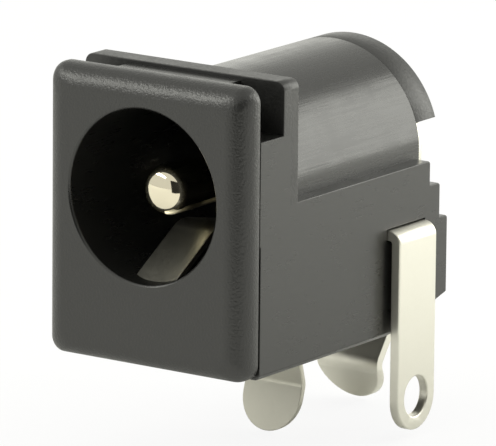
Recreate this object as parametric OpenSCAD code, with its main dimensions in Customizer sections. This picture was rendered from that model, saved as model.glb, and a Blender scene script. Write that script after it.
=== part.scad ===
// Right-angle DC power jack for a printed circuit board, millimetres.
// Z = 0 is the board plane, Y = 0 is the rear face of the front flange, where a panel
// bears, and X = 0 is the middle of the plug bore. The plug comes in along +Y.

/* [Front flange] */
// Width of the flange and of the block behind it
flange_w = 9.0; // [8.8:0.1:9.6]
// Height of the flange above the board
flange_h = 11.0; // [10.9:0.1:11.4]
// Thickness of the flange
flange_t = 1.1; // [1.05:0.05:1.4]
// Radius of the round along the front edges
flange_round = 0.9; // [0.5:0.1:1]
// Radius of the round along the bottom of the front
flange_foot_round = 0.67; // [0.4:0.01:0.9]
// Radius of the four corners, seen from the front
flange_corner = 0.6; // [0.3:0.1:0.9]

/* [Panel slot and rib] */
// Width of the slot that takes the panel
slot_w = 1.5; // [1.2:0.1:1.8]
// Height of the slot's floor at the two sides
slot_floor = 8.95; // [8.2:0.05:9.4]
// Width of the raised middle of the slot
saddle_w = 5.1; // [4.4:0.1:5.6]
// Height of the raised middle of the slot
saddle_top = 10.78; // [10.6:0.02:10.86]
// Thickness of the rib behind the slot
rib_t = 0.95; // [0.8:0.05:1.2]
// Height of the rib
rib_top = 10.93; // [10.88:0.01:10.98]
// Radius of the rib's top corners
rib_corner = 0.35; // [0.3:0.05:0.7]

/* [Barrel and plug bore] */
// Height of the bore's axis above the board
axis_z = 6.5; // [6.4:0.05:6.6]
// Radius of the plug bore
bore_r = 3.28; // [3.15:0.01:3.35]
// Depth of the bore behind the front face, where the plug stops
bore_depth = 9.3; // [9.1:0.05:9.35]
// Width of the small chamfer at the bore's mouth
mouth_chamfer = 0.12; // [0.08:0.01:0.2]
// Outside radius of the barrel
barrel_r = 3.96; // [3.85:0.01:4.1]
// Distance from the panel face to the rear face of the barrel
barrel_end = 11.31; // [11.31:0.01:11.32]
// Length of the hood over the pin plate
hood_len = 1.3; // [1.1:0.01:1.6]
// Wall thickness of the hood
hood_t = 0.85; // [0.7:0.05:0.9]
// Height of the hood's lower ends above the bore's axis
hood_rise = 1.17; // [1.1:0.01:1.4]

/* [Lower block] */
// Height of the block beside the barrel
block_top = 6.31; // [6.2:0.01:6.35]
// Length of the barrel past the rear face of the block
barrel_over = 0.09; // [0.08:0.01:0.1]
// Width of the fine groove between the flange and the block's sides
seam_w = 0.09; // [0.06:0.01:0.12]
// Depth of that groove
seam_depth = 0.12; // [0.08:0.01:0.16]
// Width of the small chamfer along the lower side edges
foot_chamfer = 0.18; // [0.1:0.02:0.3]
// Height of the upper rear step, which the pin plate stands on
step_1_top = 5.36; // [5.2:0.02:5.5]
// Depth of the upper rear step
step_1_depth = 0.68; // [0.6:0.02:0.8]
// Height of the lower rear step
step_2_top = 4.02; // [3.9:0.02:4.1]
// Depth of the lower rear step
step_2_depth = 0.53; // [0.45:0.01:0.65]
// Radius of the round along the upper rear edges
step_round = 0.14; // [0.08:0.01:0.2]
// Distance from the panel face to the start of the sloping rear underside
heel_y = 8.65; // [8.5:0.05:8.8]
// Height of the underside at the rear face
heel_rise = 1.04; // [0.9:0.02:1.2]

/* [Centre pin] */
// Radius of the pin that enters the plug
pin_r = 0.95; // [0.9:0.01:0.98]
// Distance from the front face back to the pin's round tip
pin_setback = 1.0; // [0.8:0.1:1.4]
// Radius of the dome at the pin's end
tip_dome = 1.6; // [1.4:0.1:2]
// Radius of the round between the dome and the pin's side
tip_round = 0.6; // [0.4:0.05:0.7]
// Radius of the collar held in the rear wall
collar_r = 1.3; // [1.15:0.05:1.5]
// Radius of the tenon staked in the plate
tenon_r = 0.6; // [0.5:0.05:0.7]
// Radius of the staked head behind the plate
stake_r = 0.95; // [0.85:0.05:1.1]
// Height of the staked head
stake_h = 0.32; // [0.25:0.01:0.4]
// Difference between the staked head's radius at the plate and at its end
stake_taper = 0.2; // [0.1:0.05:0.3]

/* [Pin terminal] */
// Sheet thickness of the pin plate and its tab
plate_t = 0.4; // [0.35:0.01:0.42]
// Half the width of the plate below the hood
plate_r = 3.77; // [3.7:0.01:3.9]
// Middle radius of the bend at the plate's foot
plate_bend = 1.0; // [0.8:0.1:1.2]
// Width of the pin tab
pin_tab_w = 2.8; // [2.5:0.1:3]
// Distance from the panel face to the tab's middle at the tip of its shank
pin_shank_y = 13.35; // [13.2:0.05:13.5]
// Depth of that point below the board plane
pin_shank_drop = 1.25; // [1.1:0.05:1.4]
// Forward set of the kink that holds the tab in the board
pin_kink = 0.83; // [0.6:0.01:0.9]
// Depth of the kink below the board plane
pin_kink_drop = 2.4; // [2.3:0.05:2.6]
// Depth of the tab's end below the board plane
pin_tab_drop = 3.9; // [3.6:0.1:4.1]
// Middle radius of the bends in this tab and in the sleeve tab
tab_bend = 0.5; // [0.4:0.05:0.6]

/* [Sleeve contact] */
// Sheet thickness of the spring
spring_t = 0.25; // [0.2:0.01:0.28]
// Width of the spring leaf in the bore
leaf_w = 1.8; // [1.6:0.1:2]
// Slope of the leaf's front run, in degrees
leaf_slope = 31.5; // [30:0.5:33]
// Distance from the front face back to where the leaf comes up through the bore's floor
leaf_start = 0.9; // [0.85:0.05:1]
// Length of the lip of the floor that covers the hairpin
lip = 0.4; // [0.3:0.05:0.45]
// Height that the leaf's upper face would have there, if it ran on straight
leaf_start_z = 3.29; // [3.25:0.01:3.35]
// Distance from the front face back to the leaf's crest
crest_depth = 3.7; // [3.5:0.05:3.8]
// Inside radius of the crest
crest_round = 1.2; // [0.8:0.1:1.4]
// Inside radius of the hairpin at the front
hairpin_r = 0.15; // [0.12:0.01:0.2]
// Length of the leaf past the edge of the switch finger
leaf_over = 1.3; // [0.8:0.05:1.6]
// Room below the end of the leaf, for when a plug bends it down
leaf_travel = 0.8; // [0.6:0.05:0.9]
// Distance from the panel face to the front end of the channel below the spring
channel_start = 2.4; // [2:0.1:3]
// Width of the sleeve tab and of its round end
sleeve_tab_w = 2.62; // [2.4:0.02:2.8]
// Distance from the panel face to the middle of the sleeve tab's shank
sleeve_shank_y = 7.1; // [7:0.05:7.2]
// Depth below the board plane where the tab leaves its shank
sleeve_shank_drop = 0.2; // [0.1:0.05:0.3]
// Rearward set of the kink that holds the tab in the board
sleeve_kink = 0.55; // [0.4:0.05:0.6]
// Depth of the kink below the board plane
sleeve_kink_drop = 2.15; // [2:0.05:2.3]
// Depth of the tab's end below the board plane
sleeve_tab_drop = 4.0; // [3.8:0.1:4.2]

/* [Switch terminal] */
// Sheet thickness of the switch terminal
side_t = 0.4; // [0.35:0.01:0.45]
// Width of the switch terminal
side_w = 2.47; // [2.3:0.01:2.6]
// Distance from the panel face to the terminal's middle
side_y = 9.62; // [9.5:0.02:9.66]
// Height of the terminal's upper face where it leaves the wall
side_top = 4.13; // [4.1:0.01:4.16]
// Gap between the wall and the terminal's leg
side_gap = 0.17; // [0.12:0.01:0.25]
// Inside radius of the terminal's bend
side_bend = 0.1; // [0.08:0.01:0.14]
// Depth of the terminal's round end below the board plane
side_drop = 3.7; // [3.4:0.01:3.9]
// Radius of the wire hole
eye_r = 0.78; // [0.6:0.01:0.85]
// Depth of the wire hole's middle below the board plane
eye_drop = 2.4; // [2.3:0.02:2.5]
// Width of the finger that the leaf rests against
finger_w = 1.5; // [1.2:0.1:1.8]
// Length of the finger past the far edge of the leaf
finger_over = 0.1; // [0.05:0.05:0.2]

/* [Fits] */
// Gap round a terminal in its slot
slot_gap = 0.05; // [0.04:0.01:0.08]
// Gap beside the leaf in its slot
leaf_room = 0.08; // [0.08:0.01:0.15]
// Room behind the kinked sleeve tab, which goes up through its channel
tab_room = 0.3; // [0.2:0.05:0.4]
// Gap between the resting leaf and the switch finger
contact_gap = 0.02; // [0.01:0.01:0.05]
// Gap round the collar and the tenon
stake_gap = 0.01; // [0.005:0.005:0.02]
// Gap between the barrel's rear face and the pin plate
plate_gap = 0.03; // [0.02:0.01:0.06]

/* [Hidden] */
$fn = 64;
cut = 1;
front_y = -flange_t;
bore_end = front_y + bore_depth;
rib_y = slot_w;
barrel_y = rib_y + rib_t;
block_end = barrel_end - barrel_over;
step_1_y = block_end + step_1_depth;
step_2_y = step_1_y + step_2_depth;
half_w = flange_w / 2;
plate_y = barrel_end + plate_gap;
plate_mid = plate_y + plate_t / 2;
side_x = half_w + side_gap + side_t;
side_mid_z = side_top - side_t / 2;
// The leaf and the slots it works in
leaf_y = front_y + leaf_start;
leaf_dir = [cos(leaf_slope), sin(leaf_slope)];
leaf_mid = [leaf_y, leaf_start_z - spring_t / 2 / cos(leaf_slope)];
crest = leaf_mid + leaf_dir * (crest_depth - leaf_start) / cos(leaf_slope);
leaf_rest_z = side_top - side_t - contact_gap - spring_t / 2;
leaf_tail = [side_y - finger_w / 2, leaf_rest_z];
leaf_end = leaf_tail + (leaf_tail - crest) / norm(leaf_tail - crest) * leaf_over;
// The hairpin's bend, just behind the front end of its room, sets the height of the base
room_start = leaf_y - lip;
hairpin_mid_r = hairpin_r + spring_t / 2;
hairpin_y = room_start + slot_gap + hairpin_mid_r + spring_t / 2;
base_z = leaf_mid[1] + (hairpin_y - leaf_y) * tan(leaf_slope)
    - hairpin_mid_r / cos(leaf_slope) - hairpin_mid_r;
hairpin_corner = leaf_mid - leaf_dir * (leaf_mid[1] - base_z) / leaf_dir[1];
room_floor = base_z - spring_t / 2 - slot_gap;
room_ceiling = leaf_start_z + slot_gap / cos(leaf_slope);
channel_end = sleeve_shank_y + sleeve_kink + spring_t + tab_room;
chamber_floor = leaf_end[1] - spring_t / 2 - leaf_travel;
finger_end = -leaf_w / 2 - finger_over;
// Length of the pin's end, where the dome and the round meet smoothly
tip_len = tip_dome - sqrt(pow(tip_dome - tip_round, 2) - pow(pin_r - tip_round, 2));

// Side views are drawn with +Y to the right and +Z up, and extruded along X
module along_x(w) {
    rotate([90, 0, 90]) linear_extrude(w, center = true) children();
}

// Front views are drawn with +X to the right and +Z up, and extruded along +Y from y0
module along_y(y0, l) {
    translate([0, y0 + l, 0]) rotate([90, 0, 0]) linear_extrude(l) children();
}

module box(x, y, z) {
    translate([x[0], y[0], z[0]]) cube([x[1] - x[0], y[1] - y[0], z[1] - z[0]]);
}

// Rectangle from a to b whose corners are rounded where the four radii say, from lower left
module round_rect(a, b, r) {
    corners = [a, [b[0], a[1]], b, [a[0], b[1]]];
    inward = [[1, 1], [-1, 1], [-1, -1], [1, -1]];
    difference() {
        polygon(corners);
        for (i = [0:3]) if (r[i] > 0) translate(corners[i]) difference() {
            square(2 * r[i], center = true);
            translate(inward[i] * r[i]) circle(r[i]);
        }
    }
}

function unit(v) = v / norm(v);
function left_of(v) = [-v[1], v[0]];
function heading(p, i) = unit(p[i + 1] - p[i]);
function turn(p, i) = atan2(cross(heading(p, i - 1), heading(p, i)),
    heading(p, i - 1) * heading(p, i));
function trim(p, r, i) = r[i] * tan(abs(turn(p, i)) / 2);

// Unit vector square to the sheet at point i, longer at a bend so that the faces meet
function mitre(p, i) = i == 0 ? left_of(heading(p, 0))
    : i == len(p) - 1 ? left_of(heading(p, i - 1))
    : unit(left_of(heading(p, i - 1)) + left_of(heading(p, i))) / cos(turn(p, i) / 2);

// The wedge of bend i: its centre, where the bend starts, its corner and where it ends
function wedge(p, r, i) = let (a = p[i] - heading(p, i - 1) * trim(p, r, i),
    c = a + sign(turn(p, i)) * left_of(heading(p, i - 1)) * r[i])
    [c, a, p[i], p[i] + heading(p, i) * trim(p, r, i)];

// Sheet metal seen edge on: straight runs between the points p of its middle line, joined
// by bends of middle radius r[i]
module bent_sheet(p, r, t) {
    last = len(p) - 1;
    difference() {
        union() {
            polygon([for (i = [0:last]) p[i] + mitre(p, i) * t / 2,
                for (i = [last:-1:0]) p[i] - mitre(p, i) * t / 2]);
            for (i = [1:last - 1]) difference() {
                polygon(wedge(p, r, i));
                translate(wedge(p, r, i)[0]) circle(r[i] - t / 2);
            }
        }
        for (i = [1:last - 1]) {
            w = wedge(p, r, i);
            reach = 2 + t / r[i];
            difference() {
                polygon([w[0], for (k = [1:3]) w[0] + (w[k] - w[0]) * reach]);
                translate(w[0]) circle(r[i] + t / 2);
            }
        }
    }
}

// A point beyond b on the line from a, so that a round end cuts the sheet cleanly
function past(a, b) = a + (b - a) * 1.5;

// Flange: the front outline, trimmed by the rounds seen from the side and from above
module flange() {
    f = flange_round;
    b = flange_foot_round;
    c = flange_corner;
    intersection() {
        along_y(front_y, flange_t) round_rect([-half_w, 0], [half_w, flange_h], [c, c, c, c]);
        along_x(flange_w) round_rect([front_y, 0], [0, flange_h], [b, 0, 0, f]);
        linear_extrude(flange_h) round_rect([-half_w, front_y], [half_w, 0], [f, f, 0, 0]);
    }
}

module step(y, top) {
    round_rect([0, 0], [y, top], [0, 0, step_round, 0]);
}

// Everything behind the flange up to the heel: slot floor with its raised middle, the rib,
// and the block beside and below the barrel, stepped at the rear
module trunk() {
    c = foot_chamfer;
    heel_end = heel_rise * (step_2_y + cut - heel_y) / (step_2_y - heel_y);
    intersection() {
        union() {
            box([-half_w, half_w], [0, slot_w], [0, slot_floor]);
            box([-saddle_w / 2, saddle_w / 2], [0, slot_w], [slot_floor - cut, saddle_top]);
            along_y(rib_y, rib_t)
                round_rect([-half_w, 0], [half_w, rib_top], [0, 0, rib_corner, rib_corner]);
            along_x(flange_w) difference() {
                union() {
                    step(block_end, block_top);
                    step(step_1_y, step_1_top);
                    step(step_2_y, step_2_top);
                }
                polygon([[heel_y, 0], [heel_y, -cut], [step_2_y + cut, -cut],
                    [step_2_y + cut, heel_end]]);
            }
        }
        along_y(0, step_2_y) polygon([[-half_w + c, 0], [half_w - c, 0], [half_w, c],
            [half_w, flange_h], [-half_w, flange_h], [-half_w, c]]);
    }
}

// Barrel with straight flanks that run down into the block, and the hood behind it
module barrel() {
    along_y(barrel_y, barrel_end - barrel_y) {
        translate([0, axis_z]) circle(barrel_r, $fn = 128);
        translate([-barrel_r, block_top - cut]) square([2 * barrel_r, axis_z - block_top + cut]);
    }
    along_y(barrel_end - cut, cut + hood_len) difference() {
        translate([0, axis_z]) circle(barrel_r, $fn = 128);
        translate([0, axis_z]) circle(barrel_r - hood_t, $fn = 96);
        translate([-2 * barrel_r, 0]) square([4 * barrel_r, axis_z + hood_rise]);
    }
}

// Fine grooves between the flange and the sides of the block
module seams() {
    for (side = [-1, 1]) translate([side * half_w, seam_w / 2, block_top / 2])
        cube([2 * seam_depth, seam_w, block_top + cut], center = true);
}

// Plug bore, with a small chamfer at its mouth
module plug_bore() {
    c = mouth_chamfer;
    translate([0, front_y, axis_z]) rotate([-90, 0, 0]) {
        translate([0, 0, -cut]) cylinder(r = bore_r, h = bore_depth + cut, $fn = 128);
        translate([0, 0, -c])
            cylinder(r1 = bore_r + 2 * c, r2 = bore_r, h = 2 * c, $fn = 128);
    }
}

// Room for the spring: the leaf's slot in the floor of the bore, whose front end slopes up
// with the leaf, and the channel below it
module spring_room() {
    x = leaf_w / 2 + leaf_room;
    top = axis_z - bore_r / 2;
    along_x(2 * x) polygon([[room_start, room_floor], [bore_end + cut, room_floor],
        [bore_end + cut, top], [leaf_y + (top - room_ceiling) / tan(leaf_slope), top],
        [room_start, room_ceiling - lip * tan(leaf_slope)]]);
    box([-x, x], [channel_start, channel_end], [-cut, base_z]);
    t = sleeve_tab_w / 2 + slot_gap;
    box([-t, t], [sleeve_shank_y - spring_t / 2 - slot_gap, channel_end], [-cut, base_z]);
}

// Room for the switch finger, open to the right side wall, with the leaf's tail below it
module switch_room() {
    y = side_w / 2 + slot_gap;
    top = side_top + slot_gap;
    box([finger_end - leaf_room, half_w + cut], [side_y - y, side_y + y],
        [side_top - side_t - slot_gap, top]);
    x = leaf_w / 2 + leaf_room;
    box([-x, x], [bore_end - cut, side_y + y], [chamber_floor, top]);
}

// Middle line of the pin plate and its tab, seen from the side
function pin_line() = let (kink = [pin_shank_y - pin_kink, -pin_kink_drop])
    [[plate_mid, axis_z], [plate_mid, step_1_top], [pin_shank_y, -pin_shank_drop], kink,
    past(kink, [pin_shank_y, -pin_tab_drop])];

module pin_sheet(w, t) {
    along_x(w) bent_sheet(pin_line(), [0, plate_bend, tab_bend, tab_bend, 0], t);
}

module housing() {
    color("#2b2c2b") difference() {
        union() {
            flange();
            trunk();
            barrel();
        }
        seams();
        plug_bore();
        spring_room();
        switch_room();
        translate([0, bore_end - cut, axis_z]) rotate([-90, 0, 0])
            cylinder(r = collar_r + stake_gap, h = barrel_end - bore_end + 2 * cut);
        intersection() {
            pin_sheet(pin_tab_w + 2 * slot_gap, plate_t + 2 * slot_gap);
            box([-half_w, half_w], [barrel_end, step_2_y + cut], [-cut, step_1_top]);
        }
        groove_behind_tab();
    }
}

// The tab's groove stays open to the rear, so the plate can be laid in from behind
module groove_behind_tab() {
    x = pin_tab_w / 2 + slot_gap;
    p = pin_line();
    along_x(2 * x) polygon([p[1], p[2], [p[2][0] + cut, p[2][1]], [p[2][0] + cut, p[1][1]]]);
}

// Half of the pin's end seen from the side, from its tip at the origin up to the shank: a
// shallow dome that runs into the side through a round
module pin_tip() {
    dome = [0, tip_dome];
    edge = [pin_r - tip_round, tip_len];
    difference() {
        intersection() {
            square([pin_r, tip_len]);
            translate(dome) circle(tip_dome);
        }
        difference() {
            polygon([edge, edge + 2 * (edge - dome), [pin_r + cut, -cut], edge + [pin_r, 0]]);
            translate(edge) circle(tip_round);
        }
    }
}

module center_pin() {
    tip_y = front_y + pin_setback;
    shank_y = tip_y + tip_len;
    color("#d8d2bd") translate([0, 0, axis_z]) rotate([-90, 0, 0]) {
        translate([0, 0, tip_y]) rotate_extrude() pin_tip();
        translate([0, 0, shank_y]) cylinder(r = pin_r, h = bore_end - shank_y);
        translate([0, 0, bore_end]) cylinder(r = collar_r, h = barrel_end - bore_end);
        translate([0, 0, barrel_end]) cylinder(r = tenon_r, h = plate_y + plate_t - barrel_end);
        translate([0, 0, plate_y + plate_t])
            cylinder(r1 = stake_r, r2 = stake_r - stake_taper, h = stake_h);
    }
}

// Plate behind the barrel: as wide as the barrel below the hood, narrower inside it
module plate_outline() {
    translate([0, axis_z]) circle(barrel_r - hood_t - slot_gap, $fn = 96);
    intersection() {
        translate([0, axis_z]) circle(plate_r, $fn = 96);
        translate([-plate_r, step_1_top])
            square([2 * plate_r, axis_z + hood_rise - slot_gap - step_1_top]);
    }
}

module tab_outline(w, drop, top) {
    translate([0, -drop + w / 2]) circle(w / 2);
    translate([-w / 2, -drop + w / 2]) square([w, top + drop - w / 2]);
}

module pin_terminal() {
    color("#cfcab6") difference() {
        union() {
            along_y(plate_y, plate_t) difference() {
                plate_outline();
                translate([-plate_r, 0]) square([2 * plate_r, step_1_top]);
            }
            intersection() {
                pin_sheet(pin_tab_w, plate_t);
                along_y(barrel_end, 2 * step_2_y)
                    tab_outline(pin_tab_w, pin_tab_drop, axis_z);
            }
        }
        translate([0, barrel_end - cut, axis_z]) rotate([-90, 0, 0])
            cylinder(r = tenon_r + stake_gap, h = 2 * cut + plate_t);
    }
}

// Folded spring: leaf in the bore, hairpin at the front, base below, tab down into the board
module sleeve_contact() {
    spring = [leaf_end, crest, hairpin_corner, [sleeve_shank_y, base_z], [sleeve_shank_y, 0]];
    kink = [sleeve_shank_y + sleeve_kink, -sleeve_kink_drop];
    tab = [[sleeve_shank_y, base_z - tab_bend - spring_t], [sleeve_shank_y, -sleeve_shank_drop], kink,
        past(kink, [sleeve_shank_y, -sleeve_tab_drop])];
    color("#dcdccd") {
        along_x(leaf_w)
            bent_sheet(spring, [0, crest_round, hairpin_mid_r, tab_bend, 0], spring_t);
        intersection() {
            along_x(sleeve_tab_w) bent_sheet(tab, [0, tab_bend, tab_bend, 0], spring_t);
            along_y(sleeve_shank_y - cut, 3 * cut)
                tab_outline(sleeve_tab_w, sleeve_tab_drop, base_z);
        }
    }
}

// Switch terminal: leg with a wire eye beside the wall, bent over into it, finger inside
module switch_terminal() {
    bend_mid = side_bend + side_t / 2;
    leg_x = side_x - side_t / 2;
    color("#e9e9e2") difference() {
        intersection() {
            along_y(side_y - side_w / 2, side_w)
                bent_sheet([[finger_end, side_mid_z], [leg_x, side_mid_z], [leg_x, -side_drop]],
                    [0, bend_mid, 0], side_t);
            along_x(4 * side_x) translate([side_y, 0])
                tab_outline(side_w, side_drop, side_top);
            translate([0, side_y, -side_drop]) linear_extrude(side_drop + side_top) {
                translate([half_w / 2, -side_w / 2]) square([side_x, side_w]);
                translate([finger_end, -finger_w / 2]) square([side_x, finger_w]);
            }
        }
        translate([half_w, side_y, -eye_drop]) rotate([0, 90, 0])
            cylinder(r = eye_r, h = side_x);
    }
}

housing();
center_pin();
pin_terminal();
sleeve_contact();
switch_terminal();
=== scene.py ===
import bmesh
import bpy
import math
from mathutils import Matrix, Vector


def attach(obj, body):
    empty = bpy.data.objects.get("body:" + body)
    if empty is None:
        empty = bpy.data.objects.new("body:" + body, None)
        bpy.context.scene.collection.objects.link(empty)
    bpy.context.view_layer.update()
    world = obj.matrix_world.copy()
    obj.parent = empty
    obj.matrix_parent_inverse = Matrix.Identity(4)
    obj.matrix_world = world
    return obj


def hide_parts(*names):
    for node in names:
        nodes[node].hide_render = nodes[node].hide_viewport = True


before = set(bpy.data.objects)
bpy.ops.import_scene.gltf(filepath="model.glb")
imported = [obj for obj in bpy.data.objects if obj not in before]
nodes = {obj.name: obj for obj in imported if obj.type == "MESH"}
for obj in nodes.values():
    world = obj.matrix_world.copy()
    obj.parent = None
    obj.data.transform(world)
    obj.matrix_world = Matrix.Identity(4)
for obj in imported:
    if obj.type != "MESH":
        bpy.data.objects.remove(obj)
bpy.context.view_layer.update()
MM = 0.001


# Camera. It stands well back at the right front corner, a little above the jack, as for a
# catalogue picture taken with a long lens.
def aim_camera(azimuth, elevation, roll, distance, lens, aim):
    camera = bpy.data.objects.new("camera", bpy.data.cameras.new("camera"))
    bpy.context.scene.collection.objects.link(camera)
    az, el = math.radians(azimuth), math.radians(elevation)
    back = Vector((math.sin(az) * math.cos(el), -math.cos(az) * math.cos(el), math.sin(el)))
    turn = back.to_track_quat("Z", "Y").to_matrix() @ Matrix.Rotation(math.radians(roll), 3, "Z")
    camera.matrix_world = Matrix.Translation(aim + back * distance) @ turn.to_4x4()
    camera.data.lens = lens
    camera.data.clip_end = 10
    bpy.context.scene.camera = camera


aim_camera(34.904, 12.996, 0.552, 267.46 * MM, 518.84, Vector((-0.0234, 5.7405, 4.2806)) * MM)


# Housing. One moulding of black glass-filled PBT: a flange that meets the plug, a slot and a
# rib for the panel, the barrel round the bore, and a block that stands on the board.
# The tool left a spark-eroded grain on the front and drawn, smoother faces behind it.
half_width = 4.5
flange_height = 11.0
flange_depth = 1.1
edge_round = 0.885
foot_round = 0.67
front_corner = 0.52
rear_corner = 0.6
axis_height = 6.5
bore_radius = 3.28
bore_bottom = 8.2
mouth_round = 0.12
seam_width = 0.09
seam_depth = 0.12
slot_width = 1.5
slot_floor = 8.95
saddle_half = 2.55
saddle_top = 10.78
rib_depth = 0.95
rib_top = 10.94
rib_corner = 0.35
barrel_radius = 3.96
flank_half = 3.93
barrel_end = 11.31
block_top = 6.31
block_end = 11.22
step_1 = (11.9, 5.36)
step_2 = (12.43, 4.02)
step_round = 0.14
heel = (8.65, 1.04)
foot_chamfer = 0.18
hood_end = 12.61
hood_inside = 3.11
hood_foot = 7.67
buried = 5
room_half = 0.98
room_floor = 2.4
room_top = 4.86
channel_top = 2.58
channel_front = 2.4
tab_front = 6.925
tab_half = 1.36
switch_low, switch_high = 3.68, 4.18
switch_front, switch_back = 8.335, 10.905
finger_front = 7.2
groove_half = 1.45
collar_hole = 1.31


def linear(hex_colour):
    parts = [int(hex_colour[i:i + 2], 16) / 255 for i in (1, 3, 5)]
    return tuple(p / 12.92 if p <= 0.04045 else ((p + 0.055) / 1.055) ** 2.4 for p in parts) + (1,)


def add(material, kind, links=(), **settings):
    node = material.node_tree.nodes.new(kind)
    for name, value in settings.items():
        setattr(node, name, value)
    for socket, value in dict(links).items():
        if isinstance(value, bpy.types.NodeSocket):
            material.node_tree.links.new(value, node.inputs[socket])
        else:
            node.inputs[socket].default_value = value
    return node


def new_object(name, bm, material):
    mesh = bpy.data.meshes.new(name)
    bm.to_mesh(mesh)
    bm.free()
    piece = bpy.data.objects.new(name, mesh)
    bpy.context.scene.collection.objects.link(piece)
    mesh.materials.append(material)
    return piece


# A corner of an outline becomes an arc where it has a radius, in steps of about 8 degrees
def rounded(corners):
    points = []
    for i, corner in enumerate(corners):
        here = Vector(corner[:2])
        radius = corner[2] if len(corner) > 2 else 0
        if not radius:
            points.append(here)
            continue
        back = (Vector(corners[i - 1][:2]) - here).normalized()
        on = (Vector(corners[(i + 1) % len(corners)][:2]) - here).normalized()
        half = back.angle(on) / 2
        centre = here + (back + on).normalized() * radius / math.sin(half)
        start = here + back * radius / math.tan(half) - centre
        sweep = (math.pi - 2 * half) * (1 if back.cross(on) < 0 else -1)
        count = max(2, round(math.degrees(abs(sweep)) / 8))
        for k in range(count + 1):
            points.append(centre + Matrix.Rotation(sweep * k / count, 2) @ start)
    return points


# A solid of one outline pushed along X or Y, with its outer edges softened as a mould leaves them
def pushed(name, outline, axis, start, end, material, soft=0.0, foot=0.0):
    place = (lambda p, s: Vector((s, p[0], p[1]))) if axis == "X" else (lambda p, s: Vector((p[0], s, p[1])))
    bm = bmesh.new()
    near = [bm.verts.new(place(p, start) * MM) for p in outline]
    far = [bm.verts.new(place(p, end) * MM) for p in outline]
    bm.faces.new(near)
    bm.faces.new(far)
    for i in range(len(outline)):
        j = (i + 1) % len(outline)
        bm.faces.new((near[i], near[j], far[j], far[i]))
    bmesh.ops.recalc_face_normals(bm, faces=bm.faces)
    if foot:
        low = [e for e in bm.edges if abs(abs(e.verts[0].co.x) - half_width * MM) < 1e-7
               and all(v.co.z < 1e-6 for v in e.verts) and abs(e.verts[0].co.x - e.verts[1].co.x) < 1e-7]
        bmesh.ops.bevel(bm, geom=low, offset=foot * MM, segments=1, affect="EDGES")
    if soft:
        sharp = [e for e in bm.edges if e.calc_face_angle_signed() > math.radians(30)]
        bmesh.ops.bevel(bm, geom=sharp, offset=soft * MM, segments=2, profile=0.5, affect="EDGES")
    return new_object(name, bm, material)


def square(half, low, high):
    return [(-half, low), (half, low), (half, high), (-half, high)]


def round_outline(radius, count=128):
    return [(radius * math.sin(math.tau * k / count), axis_height + radius * math.cos(math.tau * k / count))
            for k in range(count)]


# A solid turned about the bore's axis, from pairs of radius and place along Y
def turned(name, profile, material, count=96):
    bm = bmesh.new()
    rings = []
    for r, y in profile:
        if r == 0:
            rings.append([bm.verts.new(Vector((0, y, axis_height)) * MM)])
        else:
            rings.append([bm.verts.new(Vector((r * math.sin(math.tau * k / count), y,
                                               axis_height + r * math.cos(math.tau * k / count))) * MM)
                          for k in range(count)])
    for a, b in zip(rings, rings[1:]):
        for k in range(count):
            n = (k + 1) % count
            corners = [a[k % len(a)], a[n % len(a)], b[n % len(b)], b[k % len(b)]]
            bm.faces.new(list(dict.fromkeys(corners)))
    bmesh.ops.recalc_face_normals(bm, faces=bm.faces)
    return new_object(name, bm, material)


# Flange: a plate of rings from the front face round its edges to the rear face. Each ring is
# a rounded oblong, so the corners blend as they do on the moulding.
def flange(material):
    side = 14
    corner = 12

    def ring(depth):
        round_in = edge_round - math.sqrt(max(0, edge_round ** 2 - max(0, edge_round - depth) ** 2))
        foot_in = foot_round - math.sqrt(max(0, foot_round ** 2 - max(0, foot_round - depth) ** 2))
        share = min(1, depth / flange_depth)
        radius = front_corner + (rear_corner - front_corner) * share
        left, right = -half_width + round_in, half_width - round_in
        low, high = foot_in, flange_height - round_in
        points = []
        for (cx, cz), first in (((right, high), 90), ((right, low), 0), ((left, low), -90), ((left, high), 180)):
            mx = cx - math.copysign(radius, cx)
            mz = cz - radius if cz == high else cz + radius
            for k in range(corner + 1):
                a = math.radians(first - 90 * k / corner)
                points.append(Vector((mx + radius * math.cos(a), mz + radius * math.sin(a))))
        closed = []
        for i, p in enumerate(points):
            closed.append(p)
            if i % (corner + 1) == corner:
                q = points[(i + 1) % len(points)]
                closed += [p.lerp(q, k / side) for k in range(1, side)]
        return [Vector((p.x, depth - flange_depth, p.y)) for p in closed]

    steps = [edge_round * (1 - math.cos(math.radians(90 * k / 14))) for k in range(15)]
    rear_edge = [Vector((p.x * 0.9965, 0, 5.5 + (p.z - 5.5) * 0.997)) for p in ring(flange_depth)]
    rings = [ring(d) for d in steps] + [ring(flange_depth - 0.04), rear_edge]
    bm = bmesh.new()
    grid = [[bm.verts.new(p * MM) for p in points] for points in rings]
    for a, b in zip(grid, grid[1:]):
        for i in range(len(a)):
            j = (i + 1) % len(a)
            bm.faces.new((a[i], a[j], b[j], b[i]))
    bm.faces.new(grid[0])
    bm.faces.new(grid[-1])
    bmesh.ops.recalc_face_normals(bm, faces=bm.faces)
    return new_object("flange", bm, material)


# Pieces are joined or cut away one after the other, and each brings its own material along
def combine(target, operation, others):
    for other in others:
        boolean = target.modifiers.new("join", "BOOLEAN")
        boolean.operation = operation
        boolean.solver = "EXACT"
        boolean.material_mode = "TRANSFER"
        boolean.object = other
        bake(target)
        bpy.data.objects.remove(other)


def bake(piece):
    done = bpy.data.meshes.new_from_object(piece.evaluated_get(bpy.context.evaluated_depsgraph_get()))
    piece.modifiers.clear()
    old = piece.data
    piece.data = done
    bpy.data.meshes.remove(old)


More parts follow.
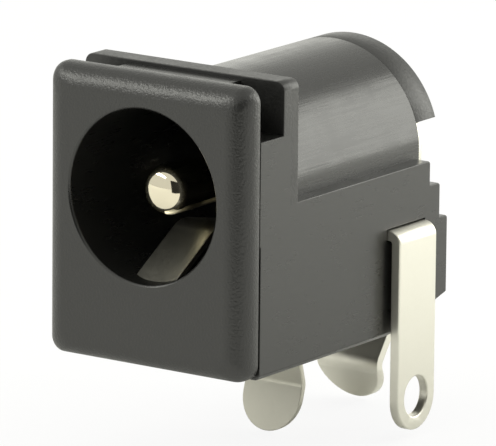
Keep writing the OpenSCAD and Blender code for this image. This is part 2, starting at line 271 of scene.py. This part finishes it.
# Smooth shading over the softened edges, with the large faces kept flat
def shade(piece, angle=35):
    bm = bmesh.new()
    bm.from_mesh(piece.data)
    bmesh.ops.remove_doubles(bm, verts=bm.verts, dist=1e-7)
    for face in bm.faces:
        face.smooth = True
    for edge in bm.edges:
        edge.smooth = len(edge.link_faces) == 2 and edge.calc_face_angle() < math.radians(angle)
    bm.to_mesh(piece.data)
    bm.free()
    weighted = piece.modifiers.new("flats", "WEIGHTED_NORMAL")
    weighted.keep_sharp = True
    weighted.weight = 100
    bake(piece)


def dress(piece, node):
    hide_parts(node)
    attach(piece, "root")


# Black PBT as the mould left it. The grain is a noise of the given size in millimetres along
# X, Y and Z: even where the tool was spark-eroded, drawn out where it was ground along Y.
def moulded_plastic(name, colour, roughness, grain, depth, uneven):
    material = bpy.data.materials.new(name)
    material.use_nodes = True
    shader = material.node_tree.nodes["Principled BSDF"]
    shader.inputs["Base Color"].default_value = linear(colour)
    shader.inputs["IOR"].default_value = 1.65
    place = add(material, "ShaderNodeTexCoord")
    drawn = add(material, "ShaderNodeMapping", {"Vector": place.outputs["Object"],
                                                "Scale": [1 / (g * MM) for g in grain]})
    fine = add(material, "ShaderNodeTexNoise", {"Vector": drawn.outputs[0], "Scale": 1.0, "Detail": 2.0,
                                               "Roughness": 0.6})
    broad = add(material, "ShaderNodeTexNoise", {"Vector": place.outputs["Object"], "Scale": 1 / (1.4 * MM),
                                                "Detail": 4.0, "Roughness": 0.6})
    both = add(material, "ShaderNodeMix", {0: 0.5, "A": fine.outputs["Fac"], "B": broad.outputs["Fac"]})
    sheen = add(material, "ShaderNodeMapRange", {"Value": both.outputs[0], "From Min": 0.35, "From Max": 0.65,
                                                 "To Min": roughness - uneven, "To Max": roughness + uneven})
    bump = add(material, "ShaderNodeBump", {"Height": fine.outputs["Fac"], "Distance": depth * MM,
                                            "Strength": 1.0})
    material.node_tree.links.new(sheen.outputs[0], shader.inputs["Roughness"])
    material.node_tree.links.new(bump.outputs["Normal"], shader.inputs["Normal"])
    return material


# The front: an even fine grain that breaks up every reflection
grained_plastic = moulded_plastic("black PBT, spark-eroded grain", "#171716", 0.38, (0.09, 0.09, 0.09), 0.02, 0.06)
# Rib and hood: duller than the barrel, with a slightly coarser grain
matt_plastic = moulded_plastic("black PBT, matt moulded", "#171716", 0.42, (0.12, 0.12, 0.12), 0.012, 0.06)
# Block, slot and bore: a soft sheen, a little uneven along Y
smooth_plastic = moulded_plastic("black PBT, smooth moulded", "#171716", 0.3, (0.12, 0.9, 0.12), 0.003, 0.05)
# Barrel: the same sheen drawn out into long streaks
drawn_plastic = moulded_plastic("black PBT, from a bore ground lengthways", "#171716", 0.27, (0.07, 3, 0.07),
                                0.003, 0.06)

body = pushed("moulded_housing", rounded([(seam_width, 0), (heel[0], 0), (step_2[0], heel[1]),
                                          (*step_2, step_round), (step_1[0], step_2[1]),
                                          (*step_1, step_round), (block_end, step_1[1]),
                                          (block_end, block_top, step_round), (seam_width, block_top)]),
              "X", -half_width, half_width, smooth_plastic, soft=0.04, foot=foot_chamfer)
neck = half_width - seam_depth
arch = [(max(-flank_half, min(flank_half, barrel_radius * math.sin(math.radians(a)))),
         axis_height + barrel_radius * math.cos(math.radians(a))) for a in range(-90, 91, 3)]
arch = [(-flank_half, buried)] + arch + [(flank_half, buried)]
combine(body, "UNION", [
    pushed("neck", square(neck, 0.2, slot_floor - 0.3), "Y", -0.2, 1, smooth_plastic),
    pushed("slot floor", square(half_width, buried, slot_floor), "Y", 0.03, slot_width + 0.5,
           smooth_plastic, soft=0.04),
    pushed("saddle", square(saddle_half, 8, saddle_top), "Y", -0.2, slot_width + 0.5,
           smooth_plastic, soft=0.05),
    pushed("rib", rounded([(-half_width, buried), (half_width, buried), (half_width, rib_top, rib_corner),
                           (-half_width, rib_top, rib_corner)]),
           "Y", slot_width, slot_width + rib_depth, matt_plastic, soft=0.05),
    pushed("barrel", arch, "Y", 2, barrel_end, drawn_plastic, soft=0.05),
])
hood = pushed("hood", round_outline(barrel_radius), "Y", barrel_end - 0.03, hood_end, matt_plastic, soft=0.05)
combine(hood, "DIFFERENCE", [
    pushed("inside", round_outline(hood_inside), "Y", 9, 14, smooth_plastic),
    pushed("below", square(5, 0, hood_foot), "Y", 9, 14, smooth_plastic),
])
combine(body, "UNION", [hood])
combine(body, "UNION", [flange(grained_plastic)])
mouth = [(bore_radius + mouth_round * (1 - math.sin(a)), mouth_round * (1 - math.cos(a)) - flange_depth)
         for a in [math.radians(22.5 * k) for k in (1, 2, 3, 4)]]
combine(body, "DIFFERENCE", [
    turned("bore", [(0, -2), (bore_radius + 1, -2), *mouth, (bore_radius, bore_bottom), (0, bore_bottom)],
           smooth_plastic, 128),
    pushed("leaf slot", [(-0.6, room_floor), (9.2, room_floor), (9.2, room_top), (2.266, room_top),
                         (-0.6, 3.1)], "X", -room_half, room_half, smooth_plastic),
    pushed("spring channel", [(channel_front, -1), (bore_bottom, -1), (bore_bottom, channel_top),
                              (channel_front, channel_top)], "X", -room_half, room_half, smooth_plastic),
    pushed("tab channel", [(tab_front, -1), (bore_bottom, -1), (bore_bottom, channel_top),
                           (tab_front, channel_top)], "X", -tab_half, tab_half, smooth_plastic),
    pushed("switch slot", [(switch_front, switch_low), (switch_back, switch_low), (switch_back, switch_high),
                           (switch_front, switch_high)], "X", -1.08, 5, smooth_plastic),
    pushed("switch chamber", [(finger_front, room_floor), (switch_back, room_floor), (switch_back, switch_high),
                              (finger_front, switch_high)], "X", -room_half, room_half, smooth_plastic),
    pushed("pin tab groove", [(11.32, 5.6), (11.32, 5.25), (13.3, -2), (14, -2), (14, 5.6)],
           "X", -groove_half, groove_half, smooth_plastic),
    pushed("collar hole", round_outline(collar_hole, 64), "Y", 8, 12, smooth_plastic),
])
shade(body)
dress(body, "housing")


# Centre pin. Turned brass, bright nickel plated, with a shallow dome at its end. Its collar
# sits in the rear wall of the housing and its tenon is staked over the plate.
pin_radius = 0.95
tip_start = -0.1
tip_dome = 1.6
tip_round = 0.6
collar_radius = 1.3
tenon_radius = 0.6
plate_back = 11.74


# Plated metal: a noise of the given size in millimetres makes the plating's sheen uneven and
# leaves it very slightly wavy
def plated_metal(name, colour, roughness, grain, depth, uneven):
    material = bpy.data.materials.new(name)
    material.use_nodes = True
    shader = material.node_tree.nodes["Principled BSDF"]
    shader.inputs["Base Color"].default_value = linear(colour)
    shader.inputs["Metallic"].default_value = 1.0
    place = add(material, "ShaderNodeTexCoord")
    drawn = add(material, "ShaderNodeMapping", {"Vector": place.outputs["Object"],
                                                "Scale": [1 / (g * MM) for g in grain]})
    fine = add(material, "ShaderNodeTexNoise", {"Vector": drawn.outputs[0], "Scale": 1.0, "Detail": 3.0,
                                               "Roughness": 0.6})
    sheen = add(material, "ShaderNodeMapRange", {"Value": fine.outputs["Fac"], "From Min": 0.35, "From Max": 0.65,
                                                 "To Min": roughness - uneven, "To Max": roughness + uneven})
    bump = add(material, "ShaderNodeBump", {"Height": fine.outputs["Fac"], "Distance": depth * MM,
                                            "Strength": 1.0})
    material.node_tree.links.new(sheen.outputs[0], shader.inputs["Roughness"])
    material.node_tree.links.new(bump.outputs["Normal"], shader.inputs["Normal"])
    return material


bright_plating = plated_metal("bright nickel on turned brass", "#e6dec8", 0.07, (0.2, 0.2, 0.2), 0.0004, 0.02)
inset = pin_radius - tip_round
reach = tip_dome - tip_round
tip_length = tip_dome - math.sqrt(reach ** 2 - inset ** 2)
join = math.asin(inset / reach)
profile = [(tip_dome * math.sin(a), tip_start + tip_dome * (1 - math.cos(a)))
           for a in [join * k / 8 for k in range(9)]]
profile += [(inset + tip_round * math.sin(a), tip_start + tip_length - tip_round * math.cos(a))
            for a in [join + (math.pi / 2 - join) * k / 10 for k in range(1, 11)]]
profile += [(pin_radius, bore_bottom), (collar_radius - 0.03, bore_bottom), (collar_radius, bore_bottom + 0.03),
            (collar_radius, barrel_end), (tenon_radius, barrel_end), (tenon_radius, plate_back),
            (0.95, plate_back), (0.93, 11.8), (0.78, 12.02), (0.7, 12.06), (0, 12.06)]
pin = turned("turned_pin", profile, bright_plating)
shade(pin)
dress(pin, "center_pin")


# Terminals. Three stampings of thin brass, tin plated: the plate behind the barrel with its
# tab, the folded spring, and the switch terminal with its wire eye. Stamping and plating
# leave every edge a little soft. Tin gives a pale satin skin, and silver on the spring a
# greyer one with a finer grain.
def stamped(name, node, material, soft):
    bm = bmesh.new()
    bm.from_mesh(nodes[node].data)
    bmesh.ops.remove_doubles(bm, verts=bm.verts, dist=2e-7)
    bmesh.ops.dissolve_limit(bm, angle_limit=math.radians(0.5), verts=bm.verts, edges=bm.edges)
    sharp = [e for e in bm.edges if e.calc_face_angle_signed() > math.radians(40)]
    bmesh.ops.bevel(bm, geom=sharp, offset=soft * MM, segments=3, profile=0.5, affect="EDGES",
                    clamp_overlap=False)
    piece = new_object(name, bm, material)
    shade(piece)
    dress(piece, node)


tin_plating = plated_metal("matt tin on stamped brass", "#dedcd2", 0.36, (0.25, 0.25, 0.25), 0.002, 0.04)
silver_plating = plated_metal("dull silver on spring brass", "#c9c7bc", 0.34, (0.12, 0.12, 0.12), 0.002, 0.04)
stamped("pin_plate", "pin_terminal", tin_plating, 0.05)
stamped("folded_spring", "sleeve_contact", silver_plating, 0.04)
stamped("switch_leg", "switch_terminal", tin_plating, 0.06)


# Studio. A pale floor under soft boxes: a tall one behind, a brighter one at the right rear,
# a narrow one over the left front, and a smaller key light that throws the shadows. The
# space in front, where the camera stands, is darker.
studio_tint = (1, 1, 0.93)


def heading(azimuth, elevation):
    az, el = math.radians(azimuth), math.radians(elevation)
    return Vector((math.cos(az) * math.cos(el), math.sin(az) * math.cos(el), math.sin(el)))


def softbox(name, azimuth, elevation, wide, high, strength, distance=0.5):
    lamp = bpy.data.lights.new(name, "AREA")
    lamp.shape = "RECTANGLE"
    lamp.size = 2 * distance * math.tan(math.radians(wide / 2))
    lamp.size_y = 2 * distance * math.tan(math.radians(high / 2))
    lamp.energy = strength * math.pi * lamp.size * lamp.size_y
    lamp.color = studio_tint
    box = bpy.data.objects.new(name, lamp)
    bpy.context.scene.collection.objects.link(box)
    out = heading(azimuth, elevation)
    box.matrix_world = Matrix.Translation(out * distance) @ out.to_track_quat("Z", "Y").to_matrix().to_4x4()
    box.visible_camera = False


softbox("back softbox", 124, 8, 50, 30, 0.6)
softbox("right softbox", 62, 14, 32, 44, 3.0, distance=0.13)
softbox("left softbox", -135, 36, 50, 11, 8)
softbox("key light", 29, 38, 12, 12, 7)

world = bpy.data.worlds.new("studio")
bpy.context.scene.world = world
world.use_nodes = True
world.node_tree.nodes.clear()
room = add(world, "ShaderNodeBackground", {"Color": (*studio_tint, 1), "Strength": 0.8})
white = add(world, "ShaderNodeBackground", {"Color": (1, 1, 1, 1), "Strength": 1.0})
path = add(world, "ShaderNodeLightPath")
seen = add(world, "ShaderNodeMixShader", {0: path.outputs["Is Camera Ray"], 1: room.outputs[0],
                                          2: white.outputs[0]})
add(world, "ShaderNodeOutputWorld", {"Surface": seen.outputs[0]})

bpy.ops.mesh.primitive_plane_add(size=3, location=(0, 0, -4.05 * MM))
floor = bpy.context.object
floor.name = "floor"
sweep = bpy.data.materials.new("white paper sweep")
sweep.use_nodes = True
sweep.node_tree.nodes.clear()
paper = add(sweep, "ShaderNodeBsdfDiffuse", {"Color": linear("#f4f4f2")})
glow = add(sweep, "ShaderNodeEmission", {"Color": (1, 1, 1, 1), "Strength": 1.0})
path = add(sweep, "ShaderNodeLightPath")
share = add(sweep, "ShaderNodeMath", {0: path.outputs["Is Camera Ray"], 1: 0.88}, operation="MULTIPLY")
mix = add(sweep, "ShaderNodeMixShader", {0: share.outputs[0], 1: paper.outputs[0], 2: glow.outputs[0]})
add(sweep, "ShaderNodeOutputMaterial", {"Surface": mix.outputs[0]})
floor.data.materials.append(sweep)

# A dark sheet before the jack's front corner, seen only in what the corner mirrors: a painted dark reflection of
# the darker space in front, where the camera stands. It casts no shadow.
dark_reflection_mesh = bpy.data.meshes.new("painted dark reflection")
across = Vector((math.sin(math.radians(50)), math.cos(math.radians(50)), 0))
above = Vector((0, 0, 1))
centre = heading(-50, 0) * 0.06
corners = ((-0.036, -0.03), (0.036, -0.03), (0.036, 0.05), (-0.036, 0.05))
dark_reflection_mesh.from_pydata([centre + across * a + above * b for a, b in corners], [], [(0, 1, 2, 3)])
dark_reflection_sheet = bpy.data.objects.new("painted_dark_reflection", dark_reflection_mesh)
bpy.context.scene.collection.objects.link(dark_reflection_sheet)
dark_reflection_sheet.visible_camera = dark_reflection_sheet.visible_diffuse = dark_reflection_sheet.visible_shadow = False
# Its dark grey is painted shade, shown only in reflections
dark_reflection_material = bpy.data.materials.new("painted dark reflection")
dark_reflection_material.use_nodes = True
shader = dark_reflection_material.node_tree.nodes["Principled BSDF"]
shader.inputs["Base Color"].default_value = linear("#1a1a1a")
shader.inputs["Roughness"].default_value = 0.9
dark_reflection_mesh.materials.append(dark_reflection_material)

bpy.context.scene.view_settings.view_transform = "Standard"
